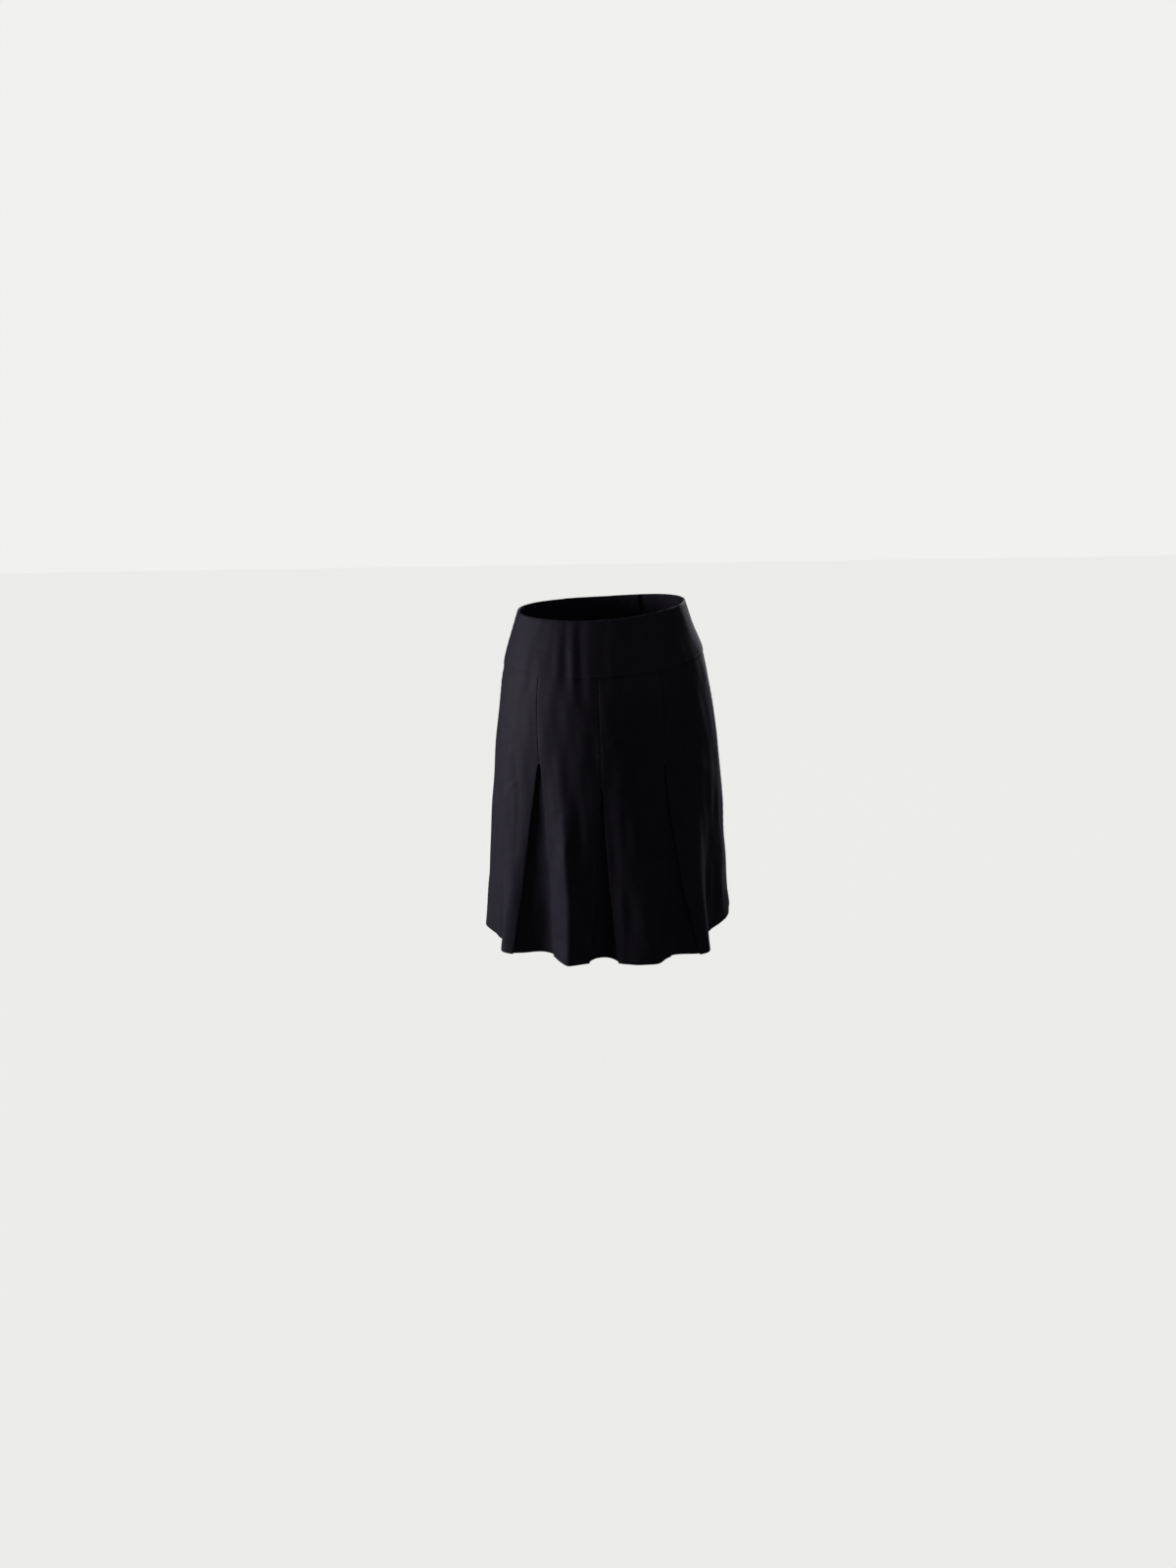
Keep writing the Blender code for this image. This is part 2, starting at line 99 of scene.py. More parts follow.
# soft creases: path of (angle, drop), height (below zero for a trough), half width
creases = (
    (
        ((56.6, 0.115), (57.5, 0.235), (59.5, 0.299), (64.0, 0.370), (67.0, 0.475), (68.0, 0.560)),
        0.0034,
        0.014,
    ),
    (((66.0, 0.190), (67.5, 0.300), (73.0, 0.400), (77.0, 0.520)), -0.0016, 0.014),
    (((24.5, 0.190), (23.1, 0.239), (18.6, 0.367), (17.2, 0.480), (17.0, 0.640)), 0.0024, 0.009),
    (((15.0, 0.190), (12.0, 0.367), (10.8, 0.480), (10.6, 0.640)), -0.0016, 0.009),
    (((-10.6, 0.215), (-10.3, 0.255), (-9.7, 0.342), (-10.2, 0.470), (-10.5, 0.640)), 0.0016, 0.009),
    (((-28.0, 0.190), (-27.5, 0.350), (-27.0, 0.640)), 0.0016, 0.010),
    (((-70.0, 0.170), (-73.0, 0.320), (-75.0, 0.620)), -0.0018, 0.014),
    (((81.0, 0.160), (82.0, 0.300), (83.0, 0.620)), 0.0014, 0.012),
    (((112.0, 0.110), (115.0, 0.300), (117.0, 0.640)), 0.0026, 0.017),
    (((136.0, 0.130), (138.0, 0.280), (139.0, 0.600)), -0.0022, 0.016),
    (((157.0, 0.095), (159.0, 0.250), (161.0, 0.660)), 0.0019, 0.014),
    (((175.0, 0.090), (178.0, 0.260), (180.0, 0.620)), -0.0024, 0.018),
    (((192.0, 0.140), (195.0, 0.300), (197.0, 0.650)), 0.0026, 0.016),
    (((215.0, 0.085), (217.0, 0.250), (218.0, 0.600)), -0.0022, 0.018),
    (((236.0, 0.120), (239.0, 0.300), (241.0, 0.640)), 0.0024, 0.017),
    (((260.0, 0.180), (261.0, 0.320), (261.5, 0.600)), -0.0016, 0.012),
    (((51.5, 0.215), (49.8, 0.291), (48.6, 0.365)), -0.0012, 0.007),
    (((30.8, -0.010), (30.5, 0.022), (27.6, 0.062), (27.0, 0.110)), 0.0014, 0.012),
    (((25.2, -0.010), (24.7, 0.022), (22.7, 0.062), (22.0, 0.100)), -0.0011, 0.008),
    (((18.2, -0.010), (18.0, 0.022), (16.5, 0.062), (15.5, 0.120)), 0.0014, 0.009),
    (((14.2, -0.010), (14.0, 0.022), (13.0, 0.062), (12.0, 0.105)), -0.0012, 0.007),
    (((7.2, -0.010), (7.0, 0.022), (6.6, 0.062), (6.0, 0.115)), 0.0011, 0.009),
    (((-9.0, -0.010), (-9.5, 0.040), (-10.5, 0.110)), 0.0009, 0.011),
    (((-21.0, -0.010), (-20.0, 0.050), (-19.0, 0.100)), -0.0010, 0.010),
    (((-33.0, -0.010), (-31.0, 0.050), (-30.0, 0.120)), 0.0011, 0.012),
    (((-52.0, -0.010), (-50.0, 0.045), (-48.0, 0.105)), -0.0009, 0.010),
    (((49.0, -0.010), (51.0, 0.045), (53.0, 0.115)), 0.0009, 0.012),
    (((128.0, -0.010), (131.0, 0.045), (134.0, 0.110)), -0.0009, 0.011),
    (((178.0, -0.010), (176.0, 0.040), (173.0, 0.105)), -0.0010, 0.012),
    (((238.0, -0.010), (236.0, 0.045), (234.0, 0.115)), 0.0010, 0.012),
    (((-58.0, 0.100), (-57.0, 0.200), (-60.0, 0.300), (-64.0, 0.420)), 0.0018, 0.014),
    (((-52.0, 0.225), (-50.5, 0.290), (-50.0, 0.350)), -0.0010, 0.008),
    (((101.0, 0.030), (99.0, 0.120), (100.0, 0.230)), 0.0012, 0.014),
    (((118.0, 0.020), (121.0, 0.110), (124.0, 0.240)), 0.0011, 0.013),
    (((168.0, 0.090), (170.0, 0.160), (171.0, 0.260)), -0.0009, 0.012),
    (((196.0, -0.010), (198.0, 0.080), (201.0, 0.200)), 0.0012, 0.014),
    (((224.0, 0.010), (222.0, 0.090), (221.0, 0.170)), -0.0011, 0.012),
    (((251.0, 0.040), (255.0, 0.140), (258.0, 0.290)), 0.0014, 0.014),
)

# short drag lines and dimples: angle, drop, half length, half width, lean from upright in degrees, height
dimples = (
    (62.3, 0.154, 0.013, 0.0045, 62, 0.0009),
    (56.3, 0.150, 0.011, 0.0040, -55, -0.0008),
    (57.8, 0.189, 0.015, 0.0050, 68, -0.0010),
    (61.5, 0.207, 0.012, 0.0045, 58, 0.0008),
    (58.9, 0.251, 0.014, 0.0050, 72, -0.0011),
    (53.7, 0.247, 0.010, 0.0045, 50, 0.0010),
    (60.8, 0.272, 0.012, 0.0050, 64, 0.0009),
    (47.0, 0.100, 0.010, 0.0040, 30, -0.0007),
    (22.4, 0.280, 0.008, 0.0040, 74, -0.0008),
    (19.0, 0.330, 0.020, 0.0050, 8, 0.0009),
    (11.0, 0.150, 0.014, 0.0055, -40, -0.0007),
    (-8.0, 0.170, 0.016, 0.0055, 35, 0.0008),
    (-22.0, 0.140, 0.013, 0.0050, -50, -0.0007),
    (-27.0, 0.260, 0.022, 0.0070, 10, -0.0010),
    (-46.0, 0.160, 0.013, 0.0045, -60, 0.0009),
    (-56.0, 0.195, 0.015, 0.0050, -66, -0.0010),
    (-61.0, 0.240, 0.013, 0.0050, -70, 0.0009),
    (-78.0, 0.130, 0.015, 0.0060, 25, -0.0008),
    (82.0, 0.120, 0.016, 0.0060, -25, -0.0008),
    (109.0, 0.160, 0.016, 0.0055, 60, -0.0010),
    (116.0, 0.200, 0.014, 0.0050, 66, 0.0009),
    (133.0, 0.135, 0.013, 0.0050, -55, 0.0008),
    (152.0, 0.105, 0.012, 0.0045, 48, -0.0009),
    (160.0, 0.190, 0.024, 0.0070, 12, 0.0010),
    (186.0, 0.130, 0.015, 0.0055, -62, -0.0009),
    (211.0, 0.170, 0.017, 0.0060, -58, 0.0009),
    (232.0, 0.150, 0.014, 0.0050, 64, -0.0009),
    (243.0, 0.205, 0.016, 0.0055, 70, 0.0010),
)

# slow unevenness of worn cloth: waves in a whole turn, waves per metre of drop, start, height
unevenness = (
    (19, 3.1, 0.4, 0.00040),
    (30, -5.3, 2.1, 0.00030),
    (43, 8.7, 4.0, 0.00018),
    (11, 11.9, 1.2, 0.00020),
)

# how a crease fades at its ends and falls off sideways, and how many half lengths a dimple reaches
creaseForm = {"fade": 0.8, "fallOff": 1.6, "dimpleReach": 2.5}

seamPucker = {
    "height": 0.00028,
    "pitch": 0.0115,
    "halfWidth": 0.008,
    "pastOpening": 0.01,
    "fadesOver": 0.02,
    "startStep": 1.3,  # each seam starts its ripples at another point
    "wander": 2.0,
    "wanderRate": 41.0,
}

# pleats: stitched from seamAngle at the yoke to opensAngle at the drop opens, then parting towards the angles
# left and right at the hem; growth shapes the parting and sinks is how far the underlay falls back
pleats = {
    "left": dict(
        seamAngle=40.2, opensAngle=36.8, opens=0.205, left=48.0, right=29.5, growth=0.68, sinks=0.004
    ),
    "centre": dict(
        seamAngle=0.5, opensAngle=0.0, opens=0.235, left=7.4, right=-7.3, growth=1.1, sinks=0.010, gapes=0.4
    ),
    "right": dict(
        seamAngle=-39.6, opensAngle=-35.6, opens=0.210, left=-34.0, right=-45.0, growth=1.2, sinks=0.003
    ),
}
gape = {"below": 0.0145, "halfHeight": 0.004}  # where the centre pleat's edges part a little below its tack

cloth = {
    "wall": 0.0009,
    "yokeWall": 0.0018,
    "yokeEdgeWall": 0.0010,
    "yokeThinsFrom": 0.060,
    "yokeThinsOver": 0.010,
    "yokeEdgeRound": 0.0004,
    "hemDepth": 0.035,
    "hemAdds": 0.0008,
    "hemFoldHalf": 0.0006,
    "hemFadeRate": 6.0,
    "hemFadeFrom": 0.2,
    "hemPress": 0.0002,
    "hemPressHalf": 0.002,
    "rowStep": 0.0036,
    "columnStep": 0.0036,
    "foldSteps": 5,
    "foldGap": 0.0001,
    "foldTouches": 0.95,  # share of a fold's radius at which two stitched folds touch
    "returnColumns": 8,
    "returnBunches": 1.3,  # columns lie closer together at the fold
    "returnAtYoke": 0.028,
    "returnAtHem": 0.014,
    "returnLies": 0.0025,  # how deep the folded-back cloth lies behind the face
    "returnSettles": 0.010,
    "underlayLies": 0.0039,
}
hemTop = cut["length"] - cloth["hemDepth"]


def mix(a, b, share):
    return a + (b - a) * share


def ease(share):
    share = np.clip(share, 0.0, 1.0)
    return share * share * (3.0 - 2.0 * share)


def smoothThrough(xs, ys, x):
    # a smooth curve through the points that never overshoots them
    xs, ys = np.asarray(xs, float), np.asarray(ys, float)
    rise = np.diff(ys) / np.diff(xs)
    slope = np.concatenate([rise[:1], np.zeros(len(xs) - 2), rise[-1:]])
    for k in range(1, len(xs) - 1):
        if rise[k - 1] * rise[k] > 0:
            slope[k] = 2 * rise[k - 1] * rise[k] / (rise[k - 1] + rise[k])
    x = np.clip(x, xs[0], xs[-1])
    i = np.clip(np.searchsorted(xs, x, side="right") - 1, 0, len(xs) - 2)
    width = xs[i + 1] - xs[i]
    t = (x - xs[i]) / width
    return (
        ys[i] * (1 + 2 * t) * (1 - t) ** 2
        + slope[i] * width * t * (1 - t) ** 2
        + ys[i + 1] * t * t * (3 - 2 * t)
        + slope[i + 1] * width * t * t * (t - 1)
    )


def pleatEdges(pleat, drop):
    # the angles of a pleat's left and right edges
    stitched = np.clip((drop - cut["yokeDepth"]) / (pleat["opens"] - cut["yokeDepth"]), 0, 1)
    middle = mix(pleat["seamAngle"], pleat["opensAngle"], stitched)
    opened = np.clip((drop - pleat["opens"]) / (cut["length"] - pleat["opens"]), 0, 1) ** pleat["growth"]
    fromGape = (drop - pleat["opens"] - gape["below"]) / gape["halfHeight"]
    gapes = pleat.get("gapes", 0) * math.exp(-(fromGape**2))
    return mix(middle, pleat["left"], opened) + gapes, mix(middle, pleat["right"], opened) - gapes


class Level:
    # the worn cloth's outer surface at one drop
    def __init__(self, drop):
        self.drop = drop
        table = np.array(sections).T
        self.halfWidth, self.shift, self.back, self.front = (
            float(smoothThrough(table[0], table[k], drop)) for k in range(1, 5)
        )
        down = drop / cut["length"]
        points = []
        for hip, hem, standsOut, begins in folds:
            grown = min(1.0, max(0.0, (drop - begins) / (cut["length"] - begins))) ** cut["foldGrowth"]
            points.append((mix(hip, hem, down), standsOut * grown))
        points = [(a - 360, d) for a, d in points[-2:]] + points + [(a + 360, d) for a, d in points[:2]]
        self.foldAngles = [p[0] for p in points]
        self.foldOut = [p[1] for p in points]

    def relief(self, turned):
        # soft creases, drag lines, unevenness, puckers and the mark where the hem is pressed
        metresPerDegree = math.radians(0.5 * (self.halfWidth + self.back))
        height = np.zeros_like(turned)
        for path, tall, halfWidth in creases:
            angles, drops = [p[0] for p in path], [p[1] for p in path]
            if not drops[0] < self.drop < drops[-1]:
                continue
            middle = float(np.interp(self.drop, drops, angles))
            along = (self.drop - drops[0]) / (drops[-1] - drops[0])
            fade = math.sin(math.pi * along) ** creaseForm["fade"]
            across = np.abs(turned - middle) * metresPerDegree / halfWidth
            height += tall * fade * np.exp(-creaseForm["fallOff"] * across**2)
        for angle, drop, halfLength, halfWidth, lean, tall in dimples:
            if abs(self.drop - drop) > creaseForm["dimpleReach"] * halfLength:
                continue
            sideways, down = (turned - angle) * metresPerDegree, self.drop - drop
            turn = math.radians(lean)
            along = (sideways * math.sin(turn) + down * math.cos(turn)) / halfLength
            across = (sideways * math.cos(turn) - down * math.sin(turn)) / halfWidth
            height += tall * np.exp(-(along**2) - across**2)
        grown = 0.5 + self.drop / cut["length"]
        for perTurn, perMetre, start, tall in unevenness:
            wave = np.sin(2 * math.pi * (perTurn * turned / 360 + perMetre * self.drop) + start)
            height += tall * grown * wave
        height += self.puckers(turned, metresPerDegree)
        pressed = math.exp(-(((self.drop - hemTop) / cloth["hemPressHalf"]) ** 2))
        return height - cloth["hemPress"] * pressed

    def puckers(self, turned, metresPerDegree):
        # cloth drawn up a little beside the stitched pleats and the side seams
        seams = [(cut["leftSeam"], 1.0), (cut["rightSeam"], 1.0)]
        for pleat in pleats.values():
            above = pleat["opens"] + seamPucker["pastOpening"] - self.drop
            stitchedTo = float(ease(above / seamPucker["fadesOver"]))
            seams.append((sum(pleatEdges(pleat, self.drop)) / 2, stitchedTo))
        height = np.zeros_like(turned)
        for k, (seam, share) in enumerate(seams):
            away = (turned - seam) * metresPerDegree
            ripple = 2 * math.pi * self.drop / seamPucker["pitch"] + seamPucker["startStep"] * k
            wander = seamPucker["wander"] * math.sin(seamPucker["wanderRate"] * self.drop + k)
            beside = np.exp(-((away / seamPucker["halfWidth"]) ** 2))
            height += seamPucker["height"] * share * math.sin(ripple + wander) * beside
        return height

    def radius(self, angles):
        angles = np.asarray(angles, float)
        turned = turnedFromBack(angles)
        turn = np.radians(angles)
        depth = np.where(np.cos(turn) > 0, self.back, self.front)
        power = cut["roundness"]
        across = np.abs(np.sin(turn) / self.halfWidth) ** power
        through = np.abs(np.cos(turn) / depth) ** power
        oval = (across + through) ** (-1 / power)
        return oval + smoothThrough(self.foldAngles, self.foldOut, turned) + self.relief(turned)

    def flat(self, angles):
        turn = np.radians(np.asarray(angles, float))
        radius = self.radius(angles)
        return np.stack([self.shift + np.sin(turn) * radius, np.cos(turn) * radius], axis=-1)

    def outward(self, angles):
        angles = np.asarray(angles, float)
        along = self.flat(angles + 0.1) - self.flat(angles - 0.1)
        normal = np.stack([-along[..., 1], along[..., 0]], axis=-1)
        return normal / np.linalg.norm(normal, axis=-1, keepdims=True)

    def inset(self, angles, depth):
        depth = np.broadcast_to(np.asarray(depth, float), np.shape(angles))
        return self.flat(angles) - self.outward(angles) * depth[..., None]

    def step(self, distance, angle):
        along = np.linalg.norm(self.flat(angle + 1.0) - self.flat(angle - 1.0)) / 2.0
        return distance / along

    def worn(self, points):
        down = self.drop / cut["length"]
        x, y = points[..., 0], points[..., 1]
        rise = cut["sideRise"] * (x**2 / (x**2 + y**2)) * (1 - down)
        tilt = mix(cut["waistTilt"], cut["hemTilt"], down) * x
        return np.stack([x, y, cut["topAboveOrigin"] - self.drop + rise - tilt], axis=-1)

    def layers(self, angles, outer, inner):
        # one row of a piece: its outer face and its inner face at their depths, and the drop
        return self.worn(self.inset(angles, outer)), self.worn(self.inset(angles, inner)), self.drop


def turnedFromBack(angles):
    # angles brought between -90 and 270, as the folds and creases are listed
    return (angles + 90.0) % 360.0 - 90.0


def tuck(drop):
    # how far the panels lie in beneath the yoke's lower edge
    return cut["yokeStep"] * (1 - ease((drop - cut["yokeDepth"]) / (cut["tuckEnds"] - cut["yokeDepth"])))


def rowsBetween(top, bottom, extra=()):
    steps = int(round((bottom - top) / cloth["rowStep"]))
    drops = set(np.round(np.linspace(top, bottom, steps + 1), 6)) | set(np.round(extra, 6))
    return sorted(float(d) for d in drops if top <= d <= bottom)


# rows lie closer where the yoke's edge rolls in, where the centre pleat gapes and where the hem is folded
gapeDrop = pleats["centre"]["opens"] + gape["below"]
gapeRows = [gapeDrop + away for away in (-0.005, 0.0, 0.005)]
hemRows = [hemTop + away for away in (-0.003, -cloth["hemFoldHalf"], cloth["hemFoldHalf"], 0.003)]
yokeEdgeRows = np.linspace(0.0715, 0.0795, 15)
yokeRows = rowsBetween(cloth["yokeWall"] / 2, cut["yokeDepth"] - cloth["yokeEdgeRound"], yokeEdgeRows)
clothRows = rowsBetween(
    cut["yokeDepth"] - cut["yokeLap"], cut["length"] - cloth["wall"] / 2, gapeRows + hemRows
)


def yokeWallAt(drop):
    # the stiffened yoke thins to a single turned edge where it laps over the panels
    thinned = float(ease((drop - cloth["yokeThinsFrom"]) / cloth["yokeThinsOver"]))
    return mix(cloth["yokeWall"], cloth["yokeEdgeWall"], thinned)


def hemFold(drop):
    # the turned-up hem is a second layer on the inside
    half = cloth["hemFoldHalf"]
    return cloth["hemAdds"] * float(ease((drop - hemTop + half) / (2 * half)))


def unit(vectors):
    return vectors / np.linalg.norm(vectors, axis=-1, keepdims=True)


def roundOver(points, middle, way, half, degrees):
    # points of a face carried round towards an open edge
    turn = math.radians(degrees)
    return middle + (points - middle) * math.cos(turn) + way * half * math.sin(turn)


def rim(outer, centre, half, end, before, turns):
    # the round points that close one side edge of every row
    beyond = unit(outer[:, end] - outer[:, before])
    return [roundOver(outer[:, end], centre[:, end], beyond, half[:, end], t) for t in turns]


def addMesh(name, points, faces, material):
    # a smooth piece whose faces all look outwards
    mesh = bpy.data.meshes.new(name)
    mesh.from_pydata(np.asarray(points).tolist(), [], faces)
    shape = bmesh.new()
    shape.from_mesh(mesh)
    bmesh.ops.recalc_face_normals(shape, faces=shape.faces)
    shape.to_mesh(mesh)
    shape.free()
    mesh.shade_smooth()
    mesh.materials.append(material)
    piece = bpy.data.objects.new(name, mesh)
    bpy.context.scene.collection.objects.link(piece)
    return piece


def shellFaces(levels, around, width, lines):
    # squares round the shell, and a strip that closes its first and its last loop to a middle line
    base = np.arange(levels * around).reshape(levels, around)
    faces = []
    for a, b in zip(base[:-1], base[1:]):
        faces += np.stack([a, b, np.roll(b, -1), np.roll(a, -1)], axis=-1).tolist()
    for ring, line, flip in ((base[0], base.size, False), (base[-1], base.size + width, True)):
        for j in range(around):
            k = (j + 1) % around
            quad = [ring[j], ring[k], line + lines[k], line + lines[j]]
            if lines[j] == lines[k]:
                quad = quad[:3]
            faces.append([int(q) for q in (quad[::-1] if flip else quad)])
    return faces


def addShell(name, rows, material):
    # a closed cloth shell through rows of outer and inner points, with rounded rims
    outer = np.array([r[0] for r in rows])
    inner = np.array([r[1] for r in rows])
    down = np.array([r[2] for r in rows])
    count, width = outer.shape[:2]
    centre = (outer + inner) / 2
    half = np.linalg.norm(outer - inner, axis=-1, keepdims=True) / 2
    steps = np.linalg.norm(np.diff(outer, axis=1), axis=-1)
    u = np.concatenate([np.zeros((count, 1)), np.cumsum(steps, axis=1)], axis=1)
    u -= u[:, width // 2][:, None]
    last = width - 1
    loops = [outer[:, k] for k in range(width)] + rim(outer, centre, half, last, last - 1, (45, 90, 135))
    loops += [inner[:, k] for k in range(last, -1, -1)] + rim(outer, centre, half, 0, 1, (135, 90, 45))
    loops = np.array(loops).swapaxes(0, 1)
    lines = np.array([*range(width), last, last, last, *range(last, -1, -1), 0, 0, 0])
    middles, halves = centre[:, lines], half[:, lines]
    upwards = unit(middles[0] - middles[1])
    downwards = unit(middles[-1] - middles[-2])
    top = [roundOver(loops[0], middles[0], upwards, halves[0], t) for t in (65, 35)]
    bottom = [roundOver(loops[-1], middles[-1], downwards, halves[-1], t) for t in (35, 65)]
    full = np.concatenate([top, loops, bottom])
    levels, around = full.shape[:2]
    firstLine = centre[0] + upwards[:width] * half[0]
    lastLine = centre[-1] + downwards[:width] * half[-1]
    points = np.concatenate([full.reshape(-1, 3), firstLine, lastLine])
    rowOf = [0, 0, *range(count), count - 1, count - 1]
    fullU = u[:, lines][rowOf].ravel()
    fullV = np.repeat(down[rowOf], around)
    lineV = np.repeat([down[0], down[-1]], width)
    uv = np.stack([np.concatenate([fullU, u[0], u[-1]]), np.concatenate([fullV, lineV])], axis=-1)
    piece = addMesh(name, points, shellFaces(levels, around, width, lines), material)
    layer = piece.data.uv_layers.new(name="cloth")
    corners = np.zeros(len(piece.data.loops), int)
    piece.data.loops.foreach_get("vertex_index", corners)
    layer.data.foreach_set("uv", uv[corners].ravel())
    return piece


def returnReach(drop):
    # how deep the cloth folds back behind a pleat edge
    below = (drop - cut["yokeDepth"]) / (cut["length"] - cut["yokeDepth"])
    return mix(cloth["returnAtYoke"], cloth["returnAtHem"], below)


def foldedEdge(level, edge, side):
    # a pressed pleat edge from the end of the cloth folded back to the start of the face
    wall, gap = cloth["wall"], cloth["foldGap"]
    turnRadius = wall + gap / 2
    start = edge + side * level.step(turnRadius * cloth["foldTouches"], edge)
    reach = returnReach(level.drop)
    end = start + side * level.step(reach, start)
    share = np.linspace(0, 1, cloth["returnColumns"]) ** cloth["returnBunches"]
    angles = mix(start, end, share)
    inside = tuck(level.drop)
    settle = ease(share * reach / cloth["returnSettles"])
    near = inside + wall + mix(gap, cloth["returnLies"] - wall, settle)
    outer = list(level.inset(angles, near + wall)[::-1])
    inner = list(level.inset(angles, near)[::-1])
    centre = level.inset(start, inside + wall + gap / 2)
    outward = level.outward(start)
    beyond = np.array([outward[1], -outward[0]]) * -side
    for k in range(1, cloth["foldSteps"]):
        turn = math.pi * (k / cloth["foldSteps"] - 0.5)
        towards = beyond * math.cos(turn) + outward * math.sin(turn)
        outer.append(centre + towards * turnRadius)
        inner.append(centre + towards * gap / 2)
    return outer, inner, start


def awayFromEdge(share):
    # the hem's second layer starts a little way from a pleat's edge
    return ease(share * cloth["hemFadeRate"] - cloth["hemFadeFrom"])


def panelRow(drop, right, left, columns):
    # a back panel between two edges, each a pleat's name or a side seam's angle
    level = Level(drop)
    inside, wall = tuck(drop), cloth["wall"]
    trim = cut["seamGap"] / 2 + wall / 2
    outer, inner, endOuter, endInner = [], [], [], []
    if right in pleats:
        outer, inner, start = foldedEdge(level, pleatEdges(pleats[right], drop)[0], 1)
    else:
        start = right + level.step(trim, right)
    if left in pleats:
        endOuter, endInner, end = foldedEdge(level, pleatEdges(pleats[left], drop)[1], -1)
    else:
        end = left - level.step(trim, left)
    angles = np.linspace(start, end, columns)
    fromRight = np.linspace(0, 1, columns) if right in pleats else np.ones(columns)
    fromLeft = np.linspace(1, 0, columns) if left in pleats else np.ones(columns)
    hem = hemFold(drop) * awayFromEdge(fromRight) * awayFromEdge(fromLeft)
    outer = outer + list(level.inset(angles, inside)) + endOuter[::-1]
    inner = inner + list(level.inset(angles, inside + wall + hem)) + endInner[::-1]
    return level.worn(np.array(outer)), level.worn(np.array(inner)), drop


def underlayRow(drop, pleat, columns):
    level = Level(drop)
    left, right = pleatEdges(pleat, drop)
    reach = returnReach(drop)
    angles = np.linspace(right - level.step(reach, right), left + level.step(reach, left), columns)
    opened = np.clip((drop - pleat["opens"]) / (cut["length"] - pleat["opens"]), 0, 1)
    across = np.clip((angles - right) / max(1e-6, left - right), 0, 1)
    depth = tuck(drop) + cloth["underlayLies"] + pleat["sinks"] * opened * np.sin(np.pi * across)
    return level.layers(angles, depth, depth + cloth["wall"] + hemFold(drop))


wrap = {
    "edgeAtWaist": 143.0,
    "edgeAtHem": 150.0,
    "underEnds": 212.0,
    "startsSinking": 104.0,
    "sunkBefore": 6.0,
    "risesOver": 0.080,
    "belowYoke": 0.0019,
    "atYoke": 0.0026,
    "edgeLifts": 0.0016,
    "liftFades": 0.022,
    "edgeShare": 0.012,
    "edgeColumns": 4,
    "stitchFromEdge": 0.006,
    "stitchDips": 0.00025,
    "stitchHalfWidth": 0.0012,
    "yokeStitches": (0.003, 0.0785),
    "apronStitches": (0.0835, 0.516),
}


def freeEdge(drop):
    return mix(wrap["edgeAtWaist"], wrap["edgeAtHem"], drop / cut["length"])


def edgeLift(drop, fromEdge):
    # the free edge stands off the layer beneath it, most at the hem
    fade = np.exp(-((fromEdge / wrap["liftFades"]) ** 2))
    return wrap["edgeLifts"] * (drop / cut["length"]) ** 2 * fade


def sunk(drop, angles):
    # how far the under layer has sunk to make room for the outer one
    sunkAt = freeEdge(drop) - wrap["sunkBefore"]
    under = ease((angles - wrap["startsSinking"]) / (sunkAt - wrap["startsSinking"]))
    belowYoke = float(ease((drop - cut["yokeDepth"]) / wrap["risesOver"]))
    return under * mix(wrap["atYoke"], wrap["belowYoke"], belowYoke)


def frontRow(drop, which, wall, inside, columns, hem):
    level = Level(drop)
    trim = level.step(cut["seamGap"] / 2 + wall / 2, cut["leftSeam"])
    if which == "outer":
        edge = freeEdge(drop)
        # a few columns lie close together beside the free edge
        near = np.linspace(0, wrap["edgeShare"], wrap["edgeColumns"] + 1)[:-1]
        shares = np.concatenate([near, np.linspace(wrap["edgeShare"], 1, columns - len(near))])
        angles = mix(edge + level.step(wall / 2, edge), cut["rightSeam"] + 360.0 - trim, shares)
        fromEdge = (angles - edge) / level.step(1.0, edge)
        fromStitches = (fromEdge - wrap["stitchFromEdge"]) / wrap["stitchHalfWidth"]
        depth = inside - edgeLift(drop, fromEdge) + wrap["stitchDips"] * np.exp(-(fromStitches**2))
    else:
        angles = np.linspace(cut["leftSeam"] + trim, wrap["underEnds"], columns)
        depth = inside + sunk(drop, angles)
    return level.layers(angles, depth, depth + wall + hem)


yokeStitch = {
    "drop": 0.0745,
    "dips": 0.00035,
    "halfWidth": 0.0011,
    "backEnds": 89.0,
    "frontStarts": 4.2,
    "frontEnds": 269.0,
}
yokeEdge = {"rollsIn": 0.0003, "rollsFrom": 0.0765, "rollsOver": 0.003}


def stitchDip(drop):
    # the row of stitches pulls the yoke's face in a little, and its lower edge rolls in
    pulled = yokeStitch["dips"] * math.exp(-(((drop - yokeStitch["drop"]) / yokeStitch["halfWidth"]) ** 2))
    return pulled + yokeEdge["rollsIn"] * float(ease((drop - yokeEdge["rollsFrom"]) / yokeEdge["rollsOver"]))


def backYokeRow(drop, columns):
    level = Level(drop)
    trim = level.step(cut["seamGap"] / 2 + cloth["yokeWall"] / 2, cut["leftSeam"])
    angles = np.linspace(cut["rightSeam"] + trim, cut["leftSeam"] - trim, columns)
    return level.layers(angles, stitchDip(drop), yokeWallAt(drop))


def linearColour(hexColour):
    channels = [int(hexColour[k : k + 2], 16) / 255 for k in (1, 3, 5)]
    return tuple(c / 12.92 if c <= 0.04045 else ((c + 0.055) / 1.055) ** 2.4 for c in channels) + (1.0,)


def addNode(tree, kind, values=None, **settings):
    node = tree.nodes.new(kind)
    for key, value in settings.items():
        setattr(node, key, value)
    for key, value in (values or {}).items():
        if isinstance(value, bpy.types.NodeSocket):
            tree.links.new(value, node.inputs[key])
        else:
            node.inputs[key].default_value = value
    return node


